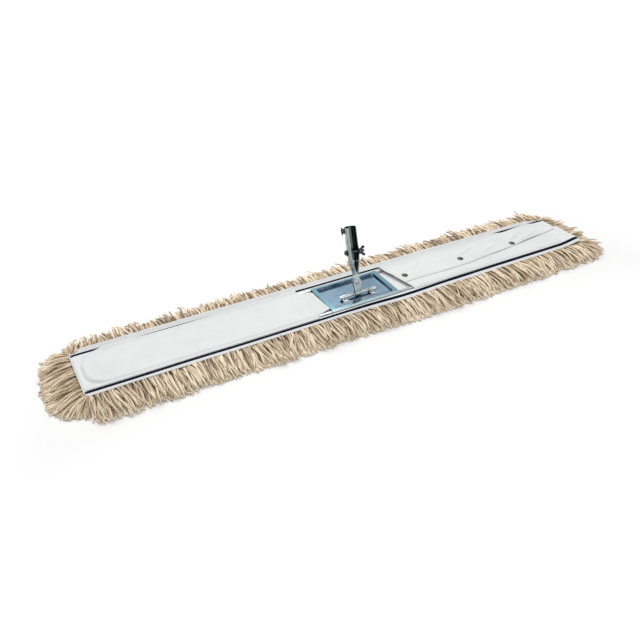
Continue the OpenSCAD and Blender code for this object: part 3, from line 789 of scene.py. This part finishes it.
def strand_points(path, girth):
    """The strand's points set round each path."""
    ways = np.zeros(path.shape)
    ways[:, 1:-1] = path[:, 2:] - path[:, :-2]
    ways[:, 0] = path[:, 1] - path[:, 0]
    ways[:, -1] = path[:, -1] - path[:, -2]
    ways /= np.linalg.norm(ways, axis=2, keepdims=True)
    side = np.cross(ways, (0.0, 0.0, 1.0))
    side /= np.linalg.norm(side, axis=2, keepdims=True)
    over = np.cross(side, ways)
    radius = girth[:, None] * STRAND_GIRTH[None, :]
    cos, sin = np.cos(POINT_TURN), np.sin(POINT_TURN)
    return path[:, POINT_STEP] + radius[:, POINT_STEP, None] * (
        side[:, POINT_STEP] * cos[None, :, None] + over[:, POINT_STEP] * sin[None, :, None])


def lay_strands(name, node, layers):
    """Copies the strand along the paths of all layers, as one piece that stands for a CAD node."""
    roots, heading, rise, drop, sway, length, girth, tone = (np.concatenate(p) for p in zip(*layers))
    path = strand_paths(roots, heading, rise, drop, sway, length, girth)
    obj = copies_object(name, strand_points(path, girth), STRAND_FACES)
    uvs = np.tile(STRAND_UV, (len(roots), 1)).reshape(len(roots), -1, 2)
    uvs[:, :, 1] *= length[:, None]
    obj.data.uv_layers.new(name="strand").data.foreach_set("uv", uvs.reshape(-1))
    tones = obj.data.attributes.new("tone", "FLOAT", "POINT")
    tones.data.foreach_set("value", np.repeat(tone, len(STRAND_POINTS)))
    face_alike(obj)
    piece = hand_over(obj, name, yarn, "mop")
    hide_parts(node)
    return piece


# Fringes and sole

LAYER_PITCH = (0.0033, 0.0034, 0.0036, 0.0036, 0.0042, 0.0042)
# Each layer's tone, from the top layer under the canvas edge downwards, holds painted shade: the top layers
# are darker and the lower ones paler.
LAYER_TONE = (0.20, 0.23, 0.30, 0.38, 0.47, 0.51)
TOP_ROOT_Z, LOWEST_ROOT_Z, LAYER_DROP = 0.0162, 0.0024, 0.0025
TUFT, GATHER_PITCH = 0.013, 0.0125
STRAND_LONG, STRAND_R = 0.0635, 0.00162


def edge_roots(along, layer, raised):
    """Depth and height of a layer's roots under the canvas edge."""
    depth = rng.uniform(0.002, 0.006, len(along)) - 0.0004 * layer
    height = TOP_ROOT_Z + raised - LAYER_DROP * layer + rng.normal(0, 0.0004, len(along))
    return depth, np.maximum(height, LOWEST_ROOT_Z)


def fringe(name, node, edge, seed, lift, hand=1.0, lean=0.0, reach=1.0, corner_cut=0.0, notch=0.0,
           raised=0.0):
    """A fringe along an edge: layers of strands in small tufts, each tuft with its own lean. The edge gives
    its length, and its points and outward directions at distances along it."""
    run, points, outward = edge
    layers = []
    for layer, (pitch, shade) in enumerate(zip(LAYER_PITCH, LAYER_TONE)):
        along = np.arange(pitch * (0.3 + 0.45 * (layer % 2)), run, pitch)
        n = len(along)
        along = np.clip(along + rng.uniform(-0.5, 0.5, n) * pitch, 0, run)
        at = points(along)
        out = outward(along)
        depth, height = edge_roots(along, layer, raised)
        roots = np.stack([at[:, 0] - depth * np.cos(out), at[:, 1] - depth * np.sin(out), height], 1)
        tuft = drift(along, TUFT, seed + layer, 0.16) + drift(along, 0.040, seed + 40 + layer // 2, 0.14)
        heading = out + lean + tuft + rng.normal(0, 0.07, n)
        t = layer / (len(LAYER_PITCH) - 1)
        rise = lift * (1 - t) - 0.10 * t + drift(along, 0.016, seed + 80 + layer, 0.10)
        rise = rise + rng.normal(0, 0.07, n)
        drop = 0.95 - 0.45 * t - 0.5 * lift + drift(along, 0.020, seed + 120 + layer, 0.22)
        drop = drop + rng.normal(0, 0.13, n)
        in_gather = (along + drift(along, 0.03, seed + 300, 0.004)) / GATHER_PITCH % 1.0 - 0.5
        sway = drift(along, 0.016, seed + 160 + layer, 0.18) + rng.normal(0, 0.11, n)
        sway = sway - 0.5 * hand * abs(hand) * in_gather
        length = rng.uniform(0.047 + 0.009 * t, STRAND_LONG, n) + drift(along, 0.03, seed + 200, 0.003)
        u = 2 * along / run - 1
        length = length * reach * (1 - corner_cut * u ** 2 - notch * bell(u, -0.68, 0.2))
        girth = rng.normal(STRAND_R, 0.00016, n).clip(0.0012, 0.0020)
        tone = shade + drift(along, TUFT, seed + 240 + layer, 0.12) + rng.normal(0, 0.31, n)
        layers.append((roots, heading, rise, drop, sway, length, girth, tone.clip(-0.18, 0.95)))
    return lay_strands(name, node, layers)


def straight_edge(side):
    """A long edge of the cover."""
    half = COVER_L / 2 - 0.004
    spread = back_spread if side > 0 else front_spread

    def points(along):
        x = -half + along
        return np.stack([x, side * (COVER_W / 2 + spread(x))], 1)

    def outward(along):
        return side * math.pi / 2 + 0 * along

    return 2 * half, points, outward


FAN_RUN = 0.078


def round_end(side):
    """The end of the cover: straight, with a fan at each corner that gets room for its spread tips."""
    flat = COVER_W - 2 * COVER_R

    def turn(along):
        past = along - FAN_RUN - flat
        return np.where(along < FAN_RUN, (along / FAN_RUN - 1) * math.pi / 2,
                        np.where(past > 0, past / FAN_RUN * math.pi / 2, 0.0))

    def points(along):
        a = turn(along)
        y = np.clip(along - FAN_RUN, 0, flat) - flat / 2
        return np.stack([side * (COVER_L / 2 - COVER_R + COVER_R * np.cos(a)), y + COVER_R * np.sin(a)], 1)

    def outward(along):
        a = turn(along)
        return a if side > 0 else math.pi - a

    return 2 * FAN_RUN + flat, points, outward


front_fringe = fringe("front_fringe_yarn", "front_fringe", straight_edge(-1), seed=1000, lift=0.16)
back_fringe = fringe("back_fringe_yarn", "back_fringe", straight_edge(1), seed=2000, lift=0.18, hand=-1.0,
                     reach=0.88, raised=0.0035)
left_fringe = fringe("left_fringe_yarn", "left_fringe", round_end(-1), seed=3000, lift=0.04, hand=-0.5,
                     lean=0.10, reach=1.10, corner_cut=0.42, notch=0.20)
right_fringe = fringe("right_fringe_yarn", "right_fringe", round_end(1), seed=4000, lift=0.10, hand=0.5,
                      corner_cut=0.14)

SOLE_ROWS, SOLE_ROW_PITCH = 5, 0.024
SOLE_HALF_L, SOLE_STRAND_PITCH = 0.541, 0.0047


def sole():
    """Rows of short yarn sewn along the underside, combed to both sides and pressed on the floor."""
    layers = []
    for i in range(SOLE_ROWS):
        middle = (i - (SOLE_ROWS - 1) / 2) * SOLE_ROW_PITCH
        for side in (-1, 1):
            along = np.arange(-SOLE_HALF_L, SOLE_HALF_L, SOLE_STRAND_PITCH)
            n = len(along)
            along = along + rng.uniform(-0.0014, 0.0014, n)
            y = middle + side * rng.uniform(0.000, 0.003, n)
            roots = np.stack([along, y, rng.uniform(0.0095, 0.0125, n)], 1)
            heading = side * math.pi / 2 + drift(along, 0.012, 5000 + 7 * i + side, 0.5)
            heading = heading + rng.normal(0, 0.25, n)
            rise = rng.uniform(-0.9, -0.2, n)
            drop = rng.uniform(0.3, 0.9, n)
            sway = rng.normal(0, 0.5, n)
            length = rng.uniform(0.013, 0.018, n)
            girth = rng.normal(0.0017, 0.00012, n)
            tone = (0.42 + rng.normal(0, 0.10, n)).clip(0.05, 0.9)
            layers.append((roots, heading, rise, drop, sway, length, girth, tone))
    return lay_strands("sole_yarn_rows", "sole_yarn", layers)


sole_rows = sole()


# Studio

FLOOR_SIZE, FLOOR_Z = 14, -0.0004
SHADED_HALF = (0.600, 0.118, 0.0)
AMBIENT = 0.42


def seen_white(add):
    """1 for rays from the camera, mirrors and glass, so that all three see the white of the studio."""
    path = add("LightPath").outputs
    both = calc(add, "MAXIMUM", path["Is Camera Ray"], path["Is Glossy Ray"])
    return calc(add, "MAXIMUM", both, path["Is Transmission Ray"])


def floor():
    """A white floor that glows more away from the mop, so that it fades into the white around it."""
    deselect()
    bpy.ops.mesh.primitive_plane_add(size=FLOOR_SIZE, location=(0, 0, FLOOR_Z))
    plane = bpy.context.object
    plane.name = "studio_floor"
    material, add, link = finish("studio_white", (0.91, 0.91, 0.91), 0.95, Emission_Color=(1, 1, 1, 1))
    side = vector_calc(add, "ABSOLUTE", add("TexCoord").outputs["Object"])["Vector"]
    past = vector_calc(add, "SUBTRACT", side, SHADED_HALF)["Vector"]
    clear = vector_calc(add, "MAXIMUM", past, (0.0, 0.0, 0.0))["Vector"]
    away = vector_calc(add, "LENGTH", clear)["Value"]
    near = mapped(add, away, 0.015, 0.12, 0.0, 0.06)
    wide = mapped(add, away, 0.12, 1.7, 0.0, 0.84)
    glow = calc(add, "ADD", near, wide)
    link(calc(add, "MULTIPLY", seen_white(add), glow), "Emission Strength")
    plane.data.materials.append(material)


def stand(obj, right, up, back, position):
    """Puts a lamp or a camera, which looks against its back axis, in the scene."""
    scene.collection.objects.link(obj)
    obj.matrix_world = Matrix((*zip(right, up, back, position), (0, 0, 0, 1)))


def lamp(name, position, size, energy):
    """A square-cornered lamp that faces the middle of the mop."""
    data = bpy.data.lights.new(name, "AREA")
    data.shape = "RECTANGLE"
    data.size, data.size_y = size
    data.energy = energy
    back = np.array(position) / np.linalg.norm(position)
    right = np.cross((0.0, 1.0, 0.0), back)
    right /= np.linalg.norm(right)
    stand(bpy.data.objects.new(name, data), right, np.cross(back, right), back, position)


def sky():
    """A white surround that looks brighter than the light it gives."""
    world = bpy.data.worlds.new("studio")
    scene.world = world
    world.use_nodes = True
    tree = world.node_tree
    background = tree.nodes["Background"]
    background.inputs["Color"].default_value = (1, 1, 1, 1)
    add = node_maker(tree)
    tree.links.new(mapped(add, seen_white(add), 0.0, 1.0, AMBIENT, 1.0), background.inputs["Strength"])


floor()
lamp("key", (-0.1, 1.3, 2.1), (2.6, 1.8), 51)
lamp("front_fill", (0.1, -1.9, 1.5), (2.0, 1.2), 14)
sky()


# Camera

CAMERA_AT = (-0.6245, -1.0186, 0.7612)
CAMERA_YAW, CAMERA_PITCH, CAMERA_ROLL = 0.4916, 0.5967, 0.0101
FOCAL_PX, PICTURE_PX, SENSOR_MM = 700, 640, 36.0


def camera(position, yaw, pitch, roll):
    """A camera at the photograph's place, its heading from +Y towards +X, looking down by the pitch."""
    ahead = np.array([math.sin(yaw) * math.cos(pitch), math.cos(yaw) * math.cos(pitch), -math.sin(pitch)])
    level_right = np.array([math.cos(yaw), -math.sin(yaw), 0.0])
    level_down = np.cross(ahead, level_right)
    right = math.cos(roll) * level_right + math.sin(roll) * level_down
    up = math.sin(roll) * level_right - math.cos(roll) * level_down
    data = bpy.data.cameras.new("camera")
    data.sensor_width = SENSOR_MM
    data.lens = SENSOR_MM * FOCAL_PX / PICTURE_PX
    data.clip_start, data.clip_end = 0.05, 50
    obj = bpy.data.objects.new("camera", data)
    stand(obj, right, up, -ahead, position)
    scene.camera = obj


camera(CAMERA_AT, CAMERA_YAW, CAMERA_PITCH, CAMERA_ROLL)
